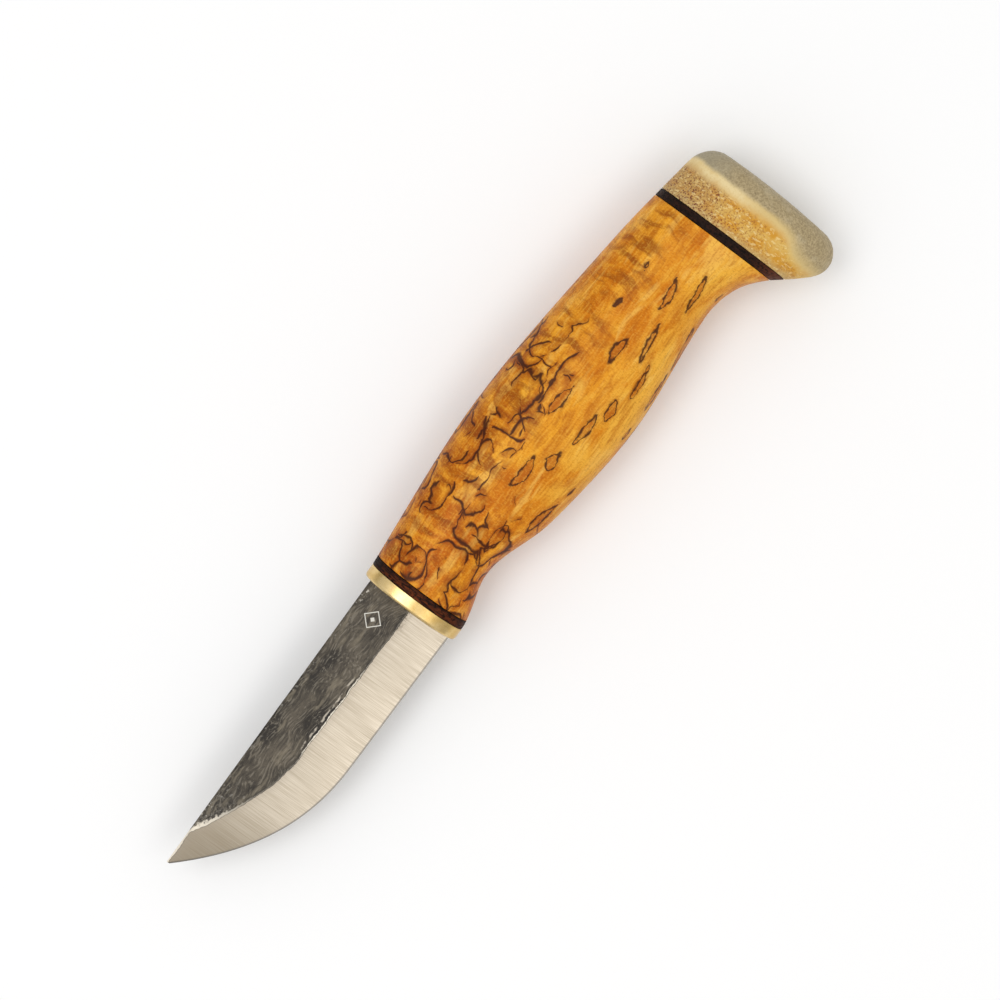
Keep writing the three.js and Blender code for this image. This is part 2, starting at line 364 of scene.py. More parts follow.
def shape_selected(ring, power_before):
    """Puts the selected oval on the ring, keeping each point's own share of the turn."""
    mesh = bmesh.from_edit_mesh(bpy.context.object.data)
    chosen = sorted((v for v in mesh.verts if v.select), key=lambda v: v.index)
    centre = sum((v.co for v in chosen), Vector()) / len(chosen)
    reach_y = max(abs(v.co.y - centre.y) for v in chosen)
    reach_z = max(abs(v.co.z - centre.z) for v in chosen)
    for v in chosen:
        across = (v.co.y - centre.y) / reach_y
        up = (v.co.z - centre.z) / reach_z
        turn = math.atan2(
            math.copysign(abs(up) ** (power_before / 2), up),
            math.copysign(abs(across) ** (power_before / 2), across),
        )
        v.co = on_oval(ring, turn)
    bmesh.update_edit_mesh(bpy.context.object.data)


def newly_added(name):
    piece = bpy.context.object
    piece.name = name
    piece.data.name = name
    return piece


def bridge_open_rims(cuts=0):
    bpy.ops.mesh.select_all(action="DESELECT")
    bpy.ops.mesh.select_non_manifold(
        extend=False, use_wire=False, use_boundary=True, use_multi_face=False,
        use_non_contiguous=False, use_verts=False)
    bpy.ops.mesh.bridge_edge_loops(number_cuts=cuts)


def face_outwards():
    """Turns every face outwards and leaves edit mode."""
    bpy.ops.mesh.select_all(action="SELECT")
    bpy.ops.mesh.normals_make_consistent(inside=False)
    bpy.ops.object.mode_set(mode="OBJECT")


def draw_out(name, all_rings, closed_ends=False):
    """Extrudes one oval through all the rings. With closed ends the first oval is filled and the
    last drawn to a point. Otherwise the last is bridged to the first."""
    bpy.ops.object.select_all(action="DESELECT")
    bpy.ops.mesh.primitive_circle_add(
        vertices=SIDES, radius=1, fill_type="NOTHING", rotation=(0, math.pi / 2, 0))
    piece = newly_added(name)
    bpy.ops.object.transform_apply(location=True, rotation=True, scale=True)
    bpy.ops.object.mode_set(mode="EDIT")
    bpy.ops.mesh.select_all(action="SELECT")
    before = all_rings[0]
    shape_selected(before, 2)
    if closed_ends:
        bpy.ops.mesh.edge_face_add()
        bpy.ops.mesh.select_mode(type="EDGE")
        mesh = bmesh.from_edit_mesh(piece.data)
        for face in mesh.faces:
            face.select = False
        for edge in mesh.edges:
            edge.select = True
        bmesh.update_edit_mesh(piece.data)
    for ring in all_rings[1:]:
        move = (ring.x - before.x, ring.middle - before.middle, 0)
        bpy.ops.mesh.extrude_edges_move(TRANSFORM_OT_translate={"value": move})
        if ring.power == before.power:
            bpy.ops.transform.resize(
                value=(1, ring.half_y / before.half_y, ring.half_z / before.half_z),
                center_override=(ring.x, ring.middle, middle_z))
        else:
            shape_selected(ring, before.power)
        before = ring
    if closed_ends:
        bpy.ops.mesh.merge(type="CENTER")
    else:
        bridge_open_rims()
    face_outwards()
    return piece


def smooth_over(piece):
    rounding = piece.modifiers.new("rounding", "SUBSURF")
    rounding.levels = 2
    bpy.context.view_layer.objects.active = piece
    bpy.ops.object.modifier_apply(modifier=rounding.name)
    bpy.ops.object.shade_smooth()
    print(piece.name, "faces:", len(piece.data.polygons))


def oval_piece(name, node, step, ease, hole):
    """A slice of the handle between a CAD node's ends, with a hole for the tang."""
    front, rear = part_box(node)[0].x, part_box(node)[1].x
    count = max(1, math.ceil((rear - front - 6 * ease) / step))
    inner = [front + 3 * ease + (rear - front - 6 * ease) * i / count for i in range(count + 1)]
    outer = [outline_ring(front, 3 * ease), outline_ring(front, ease), outline_ring(front + ease)]
    outer += [outline_ring(x) for x in inner]
    outer += [outline_ring(rear - ease), outline_ring(rear, ease), outline_ring(rear, 3 * ease)]
    piece = draw_out(name, outer + [hole_ring(rear, *hole), hole_ring(front, *hole)])
    smooth_over(piece)
    return piece


def store(piece, name, values, kind="FLOAT", field="value"):
    """Keeps a value, or a vector, for every point of the mesh."""
    stored = piece.data.attributes.new(name, kind, "POINT")
    stored.data.foreach_set(field, np.asarray(values, dtype=np.float32).ravel())


def settle(piece, node, material):
    """Hands the finished piece to the frame."""
    piece.data.materials.clear()
    piece.data.materials.append(material)
    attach(piece, "root")
    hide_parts(node)
    points = points_of(piece.data)
    box = (*points.min(axis=0), *points.max(axis=0))
    print(piece.name, "box in mm:", [round(float(c) / MM, 2) for c in box])


# Holes for the tang: half width, half thickness and how square
bore = (7.1 * MM, 3.1 * MM, 3)
slot_hole = (5.8 * MM, 1.6 * MM, 9)

# %% [markdown]
# The grip is curly birch, shaped on a belt and rubbed with oil. It swells in the palm and dips
# for the forefinger. The ovals are two millimetres apart, which is close enough for the dips.

# %% Shape the grip
grip = oval_piece("birch_grip", "grip", step=2 * MM, ease=0.1 * MM, hole=bore)

# %% [markdown]
# Curly birch carries small leaf-shaped marks, each with a dark rim and an orange-brown heart. They
# lie along the grain. They could be painted one by one, but wood never repeats, so they are
# scattered from a seed, within zones of the grip where they are common. Each point of the mesh
# stores its distance from the nearest leaf's rim, and the finish draws the rim from that.

# %% Scatter the leaf marks
# Each zone: where along the grip (0 front, 1 rear), where round it in degrees (0 back, 90 upper
# side, 180 belly, 270 under side), how many, lengths and widths in millimetres. The last zone
# holds short dark dashes.
leaf_zones = [
    ((0.62, 0.88), (95, 165), 7, (6, 11), (1.1, 2.3)),
    ((0.38, 0.60), (80, 130), 4, (5, 9), (1.0, 2.1)),
    ((0.14, 0.36), (95, 150), 3, (8, 11), (2.0, 3.0)),
    ((0.35, 0.88), (195, 260), 10, (6, 12), (1.1, 2.6)),
    ((0.15, 0.50), (255, 330), 5, (5, 9), (1.1, 2.4)),
    ((0.50, 0.90), (165, 195), 4, (5, 9), (1.0, 1.6)),
    ((0.25, 0.94), (70, 300), 14, (1.4, 3.2), (0.3, 0.55)),
]
leaf_seed = np.random.default_rng(11)
most_tilt = 10
room_between = 3.8 * MM
tries = 400
no_leaf = 6.0  # stored where no leaf is near


def surface_point(x, degrees):
    """A place on the handle, and the direction round it there."""
    ring = outline_ring(x)
    turn = math.radians(degrees)
    nudge = 0.02
    around = np.array(on_oval(ring, turn + nudge)) - np.array(on_oval(ring, turn - nudge))
    return np.array(on_oval(ring, turn)), around / np.linalg.norm(around)


leaves = []
for along, around, count, lengths, widths in leaf_zones:
    placed = 0
    for _ in range(tries):
        x = grip_low.x + leaf_seed.uniform(*along) * (grip_high.x - grip_low.x)
        centre, tangent = surface_point(x, leaf_seed.uniform(*around))
        length = leaf_seed.uniform(*lengths) * MM
        width = leaf_seed.uniform(*widths) * MM
        tilt = math.radians(leaf_seed.uniform(-most_tilt, most_tilt))
        bow = leaf_seed.uniform(-0.5, 0.5) * width
        fuller_end = leaf_seed.uniform(-0.6, 0.6)
        room = [np.abs((centre - other[0]) * (0.6, 1, 1)).max() for other in leaves]
        if placed < count and (not room or min(room) > room_between):
            leaves.append((centre, tangent, length, width, tilt, bow, fuller_end))
            placed += 1

points = points_of(grip.data)
rim_distance = np.full(len(points), no_leaf)
for centre, tangent, length, width, tilt, bow, fuller_end in leaves:
    away = points - centre
    forward = away[:, 0] * math.cos(tilt) + away @ tangent * math.sin(tilt)
    sideways = away @ tangent * math.cos(tilt) - away[:, 0] * math.sin(tilt)
    depth = np.linalg.norm(away, axis=1)
    share = np.clip(forward / (length / 2), -1, 1)
    sideways = sideways - bow * (1 - share ** 2)
    half_width = width / 2 * (1 - share ** 2) * (1 + fuller_end * share)
    past_end = np.maximum(np.abs(forward) - length / 2, 0)
    distance = np.where(past_end > 0, np.hypot(past_end, sideways), np.abs(sideways) - half_width)
    distance = np.where(depth < length, distance / MM, no_leaf)
    rim_distance = np.minimum(rim_distance, distance)
store(grip, "leaf", rim_distance)
print("leaf marks:", len(leaves))

# %% [markdown]
# The dark lines lie in the surface like ink on paper, so they are drawn on the grip's skin rolled
# out flat. In a solid pattern they would swell into blots wherever a layer only grazes the skin.
# Each point stores where it lies on that sheet: along the grip, round it from the back, and how
# far it is from the sheet's seam, which runs along the belly.

# %% Roll the skin out flat
rolled = np.empty_like(points)
for index, (x, y, z) in enumerate(points):
    ring = outline_ring(x)
    girth = math.pi * (ring.half_y + ring.half_z)
    around = math.atan2(z - middle_z, y - ring.middle) / (2 * math.pi) * girth
    rolled[index] = (x, around, girth / 2 - abs(around))
store(grip, "rolled_out", rolled / MM, "FLOAT_VECTOR", "vector")
print("skin in mm:", [round(float(c), 1) for c in np.ptp(rolled / MM, axis=0)[:2]])

# %% [markdown]
# The wood's colour goes from pale gold to orange-brown in slow patches. On top come streaks and
# fine fibres along the grain, ripples across it on the back, the leaves, and the dark wriggly lines
# that make curly birch what it is. Those lines are arcs that meet in cusps, like fish scales. Rings
# round scattered cell centres do the same where they run into each other, so the lines are such
# rings on a warped sheet, pressed hard in some places and fading out in others.

# %% Mix the birch
def birch_finish():
    f = Finish("curly_birch_oiled")
    x, y, _ = f.axes()
    front = grip_low.x / MM
    long_patches = f.noise(f.moved(f.place, scale=(0.42, 1, 1)), 7.5, detail=3, distortion=0.6)
    small_patches = f.noise(f.moved(f.place, scale=(0.6, 1, 1), shift=(40, 3, 9)), 3.2, detail=4)
    fibres = f.noise(f.moved(f.warped(f.place, 9, 2.0), scale=(0.07, 1, 1)), 0.42, detail=3)
    silk = f.noise(f.moved(f.place, scale=(1, 0.5, 0.5), turn=(0, 0, 20)), 0.3, detail=3)
    jitter = f.noise(f.place, 12, detail=2)

    # Zones, each 0 to 1
    near_front = f.rise(x, front + 46, front + 8)
    near_back = f.times(f.rise(y, 4.5, 12), f.rise(x, front + 80, front + 55))
    figured = f.most(near_front, near_back)
    figured = f.rise(f.plus(figured, f.times(jitter, 0.7)), 0.55, 1.15)
    back_side = f.rise(y, 3, 12)
    belly_streak = f.times(f.rise(y, 3, -4), f.rise(x, front + 18, front + 42))

    # Ground colour
    colour = f.mix(tone(232, 157, 36), tone(208, 122, 12), f.rise(long_patches, 0.36, 0.64))
    colour = f.over(colour, tone(176, 88, 8), small_patches, 0.5, 0.72, 0.6)
    colour = f.over(colour, tone(240, 178, 56), small_patches, 0.48, 0.3, 0.5)
    colour = f.mix(colour, tone(192, 92, 10), near_front, f.rise(long_patches, 0.4, 0.6, 0.2, 0.65))
    mottle = f.noise(f.moved(f.place, shift=(60, 2, 8)), 1.9, detail=4, roughness=0.6)
    colour = f.mix(colour, tone(156, 70, 8), figured, f.rise(mottle, 0.5, 0.68), 0.6)
    colour = f.mix(colour, tone(240, 160, 36), figured, f.rise(mottle, 0.46, 0.34), 0.45)
    colour = f.mix(colour, tone(238, 182, 70), belly_streak, f.rise(long_patches, 0.62, 0.4), 0.6)

    # Long pale and deep streaks along the grain
    bands = f.noise(f.moved(f.warped(f.place, 11, 4), scale=(0.13, 1, 1), shift=(9, 2, 5)), 2.3)
    colour = f.over(colour, tone(246, 198, 96), bands, 0.52, 0.66, 0.5)
    colour = f.over(colour, tone(186, 104, 12), bands, 0.46, 0.34, 0.5)

    # Painted shade: the back and the belly are darkened a little, where the round sides turn from the
    # light
    sheet = f.measured("rolled_out", "Vector")
    _, around, seam = f.axes(sheet)
    painted_shade_along_back = f.rise(f.absolute(around), 17, 3)
    colour = f.mix(colour, tone(148, 72, 6), painted_shade_along_back, f.rise(small_patches, 0.3, 0.6, 0.0, 0.4))
    # Painted shade along the belly seam
    colour = f.over(colour, tone(160, 84, 14), seam, 8, 0, 0.3)

    # Ripples across the grain, on the back and under it
    ripple_place = f.moved(f.warped(f.place, 8, 5), scale=(1, 0.22, 0.22), turn=(0, 0, 14))
    ripples = f.noise(ripple_place, 2.4, detail=3, roughness=0.55)
    colour = f.mix(colour, tone(134, 62, 4), back_side, f.rise(ripples, 0.47, 0.66), 0.75)
    colour = f.mix(colour, tone(232, 160, 42), back_side, f.rise(ripples, 0.46, 0.34), 0.5)

    # Hearts of the leaves, under the fibres
    leaf = f.plus(f.measured("leaf"), f.uneven(1.5, 3, 1.3))
    heart = f.rise(leaf, 0.1, -0.25)
    colour = f.over(colour, tone(150, 72, 14), leaf, 1.1, 0.0, 0.35)
    colour = f.mix(colour, tone(184, 98, 14), heart, f.rise(mottle, 0.35, 0.6, 0.35, 0.75))

    # Fibres along the grain, and the silk that crosses them
    colour = f.over(colour, tone(150, 74, 6), fibres, 0.5, 0.72, 0.34)
    colour = f.over(colour, tone(244, 188, 76), fibres, 0.48, 0.3, 0.26)
    colour = f.over(colour, tone(162, 84, 10), silk, 0.5, 0.68, 0.3)
    colour = f.over(colour, tone(246, 192, 82), silk, 0.48, 0.34, 0.2)

    # The dark lines, on the rolled-out skin
    sheet = f.moved(sheet, scale=(1, 1, 0))
    figured = f.times(figured, f.rise(seam, 0.4, 1.6))

    def inked(off, thick, shift, zone, breaks):
        """A dark line where off is 0, and the brown shade on the inner side of it."""
        pressure = f.noise(f.moved(sheet, shift=shift), 8.0, detail=2, roughness=0.5)
        width = f.times(zone, f.rise(pressure, *breaks), thick)
        drawn = f.rise(width, thick * 0.1, thick * 0.3)
        line = f.times(drawn, f.rise(f.absolute(off), width, f.times(width, 0.15)))
        shade = f.times(drawn, f.rise(off, -2.0, -0.1), f.rise(off, 0.6, 0.1))
        return line, shade

    def scales(size, thick, shift, zone, breaks):
        """Arcs like fish scales, about size millimetres apart."""
        bent = f.warped(f.warped(sheet, 10, 8), 1.3, 1.0)
        bent = f.moved(bent, scale=(0.75, 1, 1), shift=shift)
        off = f.minus(f.cells(bent, size), size * 0.46)
        return inked(off, thick, shift, zone, breaks)

    large, large_shade = scales(10, 0.62, (13, 4, 0), figured, (0.38, 0.62))
    small, small_shade = scales(5.5, 0.5, (71, 38, 0), f.times(figured, figured), (0.44, 0.62))
    forks = f.warped(f.warped(sheet, 8, 9), 1.2, 0.8)
    forks = f.cells(f.moved(forks, scale=(0.7, 1, 1), shift=(5, 90, 0)), 11, "DISTANCE_TO_EDGE")
    forked, forked_shade = inked(forks, 0.46, (30, 60, 0), figured, (0.46, 0.64))
    lines = f.most(f.most(large, small), forked)
    shade = f.most(f.most(large_shade, small_shade), forked_shade)

    # Rims of the leaves
    rim_width = f.rise(f.noise(f.place, 2.2, detail=2), 0.38, 0.62, 0.14, 0.6)
    rim = f.rise(f.absolute(leaf), rim_width, f.times(rim_width, 0.15))
    marks = f.most(lines, rim)
    colour = f.mix(colour, tone(140, 60, 6), shade, 0.55)
    colour = f.mix(colour, tone(54, 19, 9), marks, 0.9)

    roughness = f.rise(fibres, 0.3, 0.7, 0.34, 0.46)
    grain = f.relief(fibres, 0.03)
    sunk = f.relief(marks, -0.03, grain)
    return f.wear(Base_Color=colour, Roughness=roughness, Normal=sunk,
                  Specular_IOR_Level=0.09, Coat_Weight=0.03, Coat_Roughness=0.2)


settle(grip, "grip", birch_finish())

# %% [markdown]
# Two dark spacers close the grip. The front one is red-brown wood with black flecks, and the
# rear one is thin, nearly black leather. Both are slices of the same handle outline, so they
# follow the grip exactly.

# %% Cut the spacers
front_spacer = oval_piece("dark_front_spacer", "front_spacer", 1 * MM, 0.06 * MM, slot_hole)
rear_spacer = oval_piece("thin_rear_spacer", "rear_spacer", 1 * MM, 0.06 * MM, bore)


def spacer_finish(name, node, ground, fleck_and_shade_tone, warm, warmth, end_shade_and_rear_layer):
    """A thin dark sheet with flecks. warmth is how much of the warm tone shows in it, and the last
    value is how far painted shade darkens its back and belly and how dark its rear layer is."""
    f = Finish(name)
    x, y, _ = f.axes()
    low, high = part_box(node)[0] / MM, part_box(node)[1] / MM
    pressed = f.noise(f.moved(f.place, scale=(1.6, 1, 1)), 0.95, detail=5, roughness=0.7)
    layers = f.noise(f.moved(f.place, scale=(4, 0.5, 0.5)), 1.4, detail=3)
    colour = f.mix(ground, warm, f.rise(layers, 0.4, 0.62), warmth)
    # Painted shade: the sheet darkens towards its back and belly, where the round handle turns from
    # the light
    middle = (low.y + high.y) / 2
    reach = (high.y - low.y) / 2
    off_middle = f.absolute(f.minus(y, middle))
    colour = f.mix(colour, fleck_and_shade_tone, f.rise(off_middle, reach * 0.35, reach), end_shade_and_rear_layer)
    beak = f.rise(y, low.y + 9, low.y + 2)
    colour = f.mix(colour, warm, beak, 1 - end_shade_and_rear_layer)
    # A dark layer at the rear face
    colour = f.over(colour, fleck_and_shade_tone, x, high.x - 0.9, high.x, end_shade_and_rear_layer)
    colour = f.over(colour, fleck_and_shade_tone, pressed, 0.48, 0.6, 0.85)
    return f.wear(Base_Color=colour, Roughness=f.rise(pressed, 0.3, 0.7, 0.5, 0.75),
                  Normal=f.relief(pressed, 0.08), Specular_IOR_Level=0.1)


settle(front_spacer, "front_spacer", spacer_finish(
    "red_brown_wood", "front_spacer", tone(44, 18, 8), tone(15, 7, 5), tone(116, 54, 18), 0.7, 0.75))
settle(rear_spacer, "rear_spacer", spacer_finish(
    "black_leather", "rear_spacer", tone(30, 17, 11), tone(12, 7, 5), tone(92, 42, 18), 0.15, 0.1))

# %% [markdown]
# The bolster is a brass plate. Its front rim is rounded over with a file, so it catches the light
# in a bright ring. Six rings on a quarter circle give that rim its curve. The slot for the tang is
# cut sharp, so it has a second ring close to its corner on each side.

# %% Make the bolster
bolster_low, bolster_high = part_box("bolster")


def bolster_ring(x, inset):
    """The bolster's oval, drawn in by inset, from its CAD section just inside the back face."""
    back, belly, half = slice_of("bolster", bolster_high.x - 0.3 * MM)
    return Ring(x, (back + belly) / 2, (back - belly) / 2 - inset, half - inset, OVAL)


rim_radius = 0.7 * MM
ease = 0.06 * MM
mouth = 0.08 * MM
front, rear = bolster_low.x, bolster_high.x
wide, thick, power = slot_hole
bolster_rings = [hole_ring(front, wide + mouth, thick + mouth, power)]
bolster_rings += [bolster_ring(front, rim_radius + 0.5 * MM)]
for step in range(6):
    angle = step / 5 * math.pi / 2
    bolster_rings.append(bolster_ring(front + rim_radius * (1 - math.cos(angle)),
                                      rim_radius * (1 - math.sin(angle))))
bolster_rings += [bolster_ring(x, 0) for x in (front + 1.6 * MM, rear - 3 * ease, rear - ease)]
bolster_rings += [bolster_ring(rear, ease), bolster_ring(rear, 3 * ease)]
bolster_rings += [hole_ring(rear, wide + mouth, thick + mouth, power)]
bolster_rings += [hole_ring(x, *slot_hole) for x in (rear, rear - mouth, front + mouth, front)]
bolster = draw_out("brass_bolster", bolster_rings)
smooth_over(bolster)


def brass_finish():
    f = Finish("satin_brass")
    round_scratches = f.noise(f.moved(f.place, scale=(14, 0.35, 0.35)), 1.0, detail=4)
    fine = f.noise(f.moved(f.warped(f.place, 4, 1), scale=(1, 4, 4)), 0.7, detail=4, roughness=0.7)
    tarnish = f.noise(f.place, 4.5, detail=4)
    colour = f.mix(tone(232, 205, 148), tone(206, 172, 104), f.rise(tarnish, 0.35, 0.7))
    colour = f.over(colour, tone(150, 112, 52), fine, 0.56, 0.72, 0.4)
    roughness = f.rise(round_scratches, 0.3, 0.7, 0.27, 0.36)
    return f.wear(Base_Color=colour, Metallic=1.0, Roughness=roughness,
                  Normal=f.relief(round_scratches, 0.006))


settle(bolster, "bolster", brass_finish())

# %% [markdown]
# The pommel is a slice from the root of an antler. The outside is grey rind, then comes a cream
# layer, and then the porous heart. One run of rings makes it: from the bottom of the blind hole
# for the tang to its mouth, out over the front face, along the outside and round over the butt.

# %% Shape the pommel
bore_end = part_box("epoxy_bed")[1].x + 0.3 * MM
round_depth = 5.4 * MM
back_slope = float(back_at(round_start) - back_at(round_start - MM)) / MM


def pommel_ring(x, inset):
    """The outline's oval up to the rounding. In the rounding the back runs straight on and the
    belly keeps to the side of the box."""
    if x <= round_start:
        return outline_ring(x, inset)
    back = float(back_at(round_start)) + back_slope * (x - round_start)
    belly = max(float(belly_at(round_start)), pommel_low.y)
    belly = min(belly, pommel_low.y + 0.05 * MM)
    half = float(half_at(round_start))
    return Ring(x, (back + belly) / 2, (back - belly) / 2 - inset, half - inset, OVAL)


pommel_front = pommel_low.x
near, far = 0.1 * MM, 0.3 * MM
bore_x = (bore_end, bore_end - far, pommel_front + far, pommel_front)
pommel_rings = [hole_ring(x, *bore) for x in bore_x]
pommel_rings += [outline_ring(pommel_front, far), outline_ring(pommel_front, near)]
pommel_rings += [outline_ring(pommel_front + near), outline_ring(pommel_front + far)]
pommel_rings += [pommel_ring(x, 0) for x in np.linspace(pommel_front + MM, round_start, 8)]
crown = 0.5 * MM
for step in range(1, 11):
    angle = step / 10 * math.pi / 2
    pommel_rings.append(pommel_ring(
        round_start + (butt_round - crown) * math.sin(angle), round_depth * (1 - math.cos(angle))))
last = pommel_rings[-1]
for step in range(1, 9):
    shrink = 1 - step / 8.3
    rise = crown * (1 - shrink ** 2)
    pommel_rings.append(last._replace(
        x=last.x + rise, half_y=last.half_y * shrink, half_z=last.half_z * shrink))
pommel = draw_out("antler_pommel", pommel_rings, closed_ends=True)
smooth_over(pommel)

# %% [markdown]
# The butt slants, so that towards the beak it lies a little further forward. The heart of antler
# is full of tiny holes, which show on the polished side, so its surface is pricked inwards there,
# in the mesh itself, and the rind gets shallow hollows. Each point also stores how deep it lies
# behind the butt, because the layers follow the butt and not the handle.

# %% Lean the butt and open the pores
butt_lean = 0.035
lean_length = pommel_high.x - pommel_front
top_y = float(back_at(pommel_front))
from_butt = []
for vertex in pommel.data.vertices:
    share = min(max((vertex.co.x - pommel_front) / lean_length, 0), 1)
    depth = (pommel_high.x - vertex.co.x) / MM
    vertex.co.x -= max(top_y - vertex.co.y, 0) * butt_lean * share * share
    from_butt.append(depth)
reached = max(v.co.x for v in pommel.data.vertices)
stretch = (pommel_high.x - pommel_front) / (reached - pommel_front)
for vertex in pommel.data.vertices:
    vertex.co.x = pommel_front + (vertex.co.x - pommel_front) * stretch
pommel.data.update()
normals = [v.normal.copy() for v in pommel.data.vertices]
for vertex, normal, depth in zip(pommel.data.vertices, normals, from_butt):
    heart = min(max((depth - 6.8) / 1.5, 0), 1)
    rind = min(max((5.0 - depth) / 1.2, 0), 1)
    place = vertex.co / MM
    prick = noise.noise(place * 1.9) + 0.6 * noise.noise(place * 3.7)
    vertex.co -= normal * MM * 0.12 * heart * max(prick - 0.12, 0)
    vertex.co -= normal * MM * 0.05 * rind * (noise.noise(place * 1.2) + 0.8)
store(pommel, "from_butt", from_butt)

# %% [markdown]
# The layers are read from the stored depth. The rind is thickest at the beak, where it wraps round
# the end. The heart is ochre, full of fine red-brown grains that crowd towards the back.

# %% Colour the antler
def antler_finish():
    f = Finish("layered_antler")
    _, y, _ = f.axes()
    across = f.rise(y, pommel_low.y / MM, pommel_high.y / MM)  # 0 at the beak, 1 at the back
    wrapped = f.rise(across, 0.26, 0.0, 0.0, 4.0)
    by_beak = f.rise(across, 0.4, 0.05)
    depth = f.minus(f.plus(f.measured("from_butt"), f.uneven(4, 4, 1.3)), wrapped)
    speckle = f.noise(f.place, 0.5, detail=4, roughness=0.7)
    cloud = f.noise(f.place, 3.2, detail=3)
    grains = f.noise(f.place, 0.42, detail=3, roughness=0.65)
    threads = f.noise(f.moved(f.place, scale=(1, 0.45, 0.45), turn=(0, 0, 35)), 0.5, detail=3)
    clusters = f.noise(f.moved(f.place, shift=(8, 1, 5)), 3.5, detail=2)

    rind = f.mix(tone(184, 165, 127), tone(150, 133, 98), f.rise(speckle, 0.36, 0.64))
    rind = f.over(rind, tone(192, 178, 146), cloud, 0.5, 0.7, 0.4)
    rind = f.over(rind, tone(118, 103, 78), grains, 0.56, 0.68, 0.55)
    rind = f.over(rind, tone(150, 146, 128), across, 0.75, 1.0, 0.5)
    cream = f.mix(tone(210, 184, 124), tone(228, 206, 154), f.rise(across, 0.4, 0.75))
    cream = f.over(cream, tone(218, 188, 124), cloud, 0.4, 0.65, 0.5)
    cream = f.over(cream, tone(196, 160, 96), speckle, 0.5, 0.64, 0.25)

    heart = f.mix(tone(216, 176, 92), tone(206, 148, 46), f.rise(cloud, 0.36, 0.62))
    by_back = f.rise(across, 0.62, 0.95)
    heart = f.mix(heart, tone(176, 138, 88), by_back, 0.6)
    heart = f.over(heart, tone(186, 160, 108), f.measured("from_butt"), 12.2, 14.4, 0.65)
    crowd = f.plus(f.rise(across, 0.25, 0.85, 0.3, 0.9), f.rise(clusters, 0.38, 0.62, -0.25, 0.2))
    grain_tone = f.mix(tone(140, 70, 26), tone(112, 58, 38), by_back)
    heart = f.mix(heart, grain_tone, f.rise(grains, 0.48, 0.62), f.rise(depth, 6.6, 8.6), crowd)
    heart = f.mix(heart, tone(244, 222, 160), f.rise(threads, 0.54, 0.66),
                  f.rise(depth, 6.4, 8.2), 0.45)

    soft = f.times(by_beak, 1.6)
    inner = f.rise(depth, f.minus(4.4, soft), f.plus(5.7, soft))
    colour = f.mix(rind, cream, inner)
    colour = f.mix(colour, heart, f.rise(depth, 5.9, 8.4))
    grain = f.relief(speckle, 0.05)
    return f.wear(Base_Color=colour, Roughness=f.rise(speckle, 0.3, 0.7, 0.45, 0.65),
                  Normal=f.relief(grains, 0.05, grain), Specular_IOR_Level=0.2)


settle(pommel, "pommel", antler_finish())

# %% [markdown]
# The blade is forged flat and then ground on a stone from the edge up to about its middle. Its
# section is measured on the CAD blade from shoulder to point.

# %% Measure the blade
bolster_front = bolster_low.x
blade_low, blade_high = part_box("blade")
shoulder = bolster_front - 0.1 * MM
ahead = steel_points[:, 0] < shoulder + 0.01 * MM
section = []
for x in sorted(set(np.round(steel_points[ahead, 0], 5))):
    cut = cut_points("blade", min(max(x, blade_low.x + 1e-6), shoulder - 1e-5))
    thick = np.abs(cut[:, 2] - middle_z)
    back, edge, half = cut[:, 1].max(), cut[:, 1].min(), thick.max()
    grind = cut[thick > half - 2e-6, 1].min()
    section.append((x, back, grind, edge, half))
section_x, *section_lines = np.array(section).T
back_line, grind_line, edge_line, half_line = [
    smooth_curve(section_x, values) for values in section_lines]
print("blade stations:", len(section))


def grind_wander(x):
    """The ground line isn't straight: the stone follows the forged surface's hollows."""
    t = x / MM
    return MM * (0.22 * noise.noise(Vector((t * 0.16, 3, 0))) + 0.12 * noise.noise(
        Vector((t * 0.6, 8, 0))))


# %% [markdown]
# One side is a fine grid, bent onto that section. The other side will be its mirror image, with
# a band of faces joining them all round.

# %% Bend a grid onto one side
ALONG = 300
ACROSS = 72
bevel_share = 0.55
bevel_crown = 0.08 * MM
blade_point = blade_low.x + 0.01 * MM
edge_half = 0.125 * MM
bpy.ops.object.select_all(action="DESELECT")
bpy.ops.mesh.primitive_grid_add(x_subdivisions=ALONG, y_subdivisions=ACROSS, size=2)
blade = newly_added("forged_blade")
for vertex in blade.data.vertices:
    u = (vertex.co.x + 1) / 2
    s = (vertex.co.y + 1) / 2
    x = blade_point + (shoulder - blade_point) * u ** 1.4
    back, edge, half = float(back_line(x)), float(edge_line(x)), float(half_line(x))
    grind = min(max(float(grind_line(x)) + grind_wander(x), edge + 0.05 * MM), back - 0.05 * MM)
    if s < bevel_share:
        rise = s / bevel_share
        y = edge + (grind - edge) * rise
        lift = min(edge_half, half) + (half - min(edge_half, half)) * rise
        lift += bevel_crown * math.sin(math.pi * rise) * min(half / (1.6 * MM), 1)
        honed = min((y - edge) / (0.5 * MM), 1)
        lift *= 0.45 + 0.55 * honed
    else:
        rise = (s - bevel_share) / (1 - bevel_share)
        y = grind + (back - grind) * rise
        lift = half - 0.22 * MM * max(1 - (back - y) / (0.3 * MM), 0) * min(half / (1.6 * MM), 1)
    vertex.co = (x, y, middle_z + lift)

# %% [markdown]
# The mirror image is made with a duplicate and a negative scale, which turns its faces inside
# out, so they are flipped before the two rims are bridged.

# %% Mirror the side and join the rims
bpy.ops.object.mode_set(mode="EDIT")
bpy.ops.mesh.select_all(action="SELECT")
bpy.ops.mesh.duplicate()
bpy.ops.transform.resize(value=(1, 1, -1), center_override=(0, 0, middle_z))
bpy.ops.mesh.flip_normals()
bridge_open_rims(cuts=3)
face_outwards()

# %% [markdown]
# Scale flakes off hot steel and leaves shallow dents. They are pressed into the mesh on the flats
# only, and the ground bevel stays true. The finish needs to know where the bevel begins and how
# far the edge is, so both distances are stored on each point.

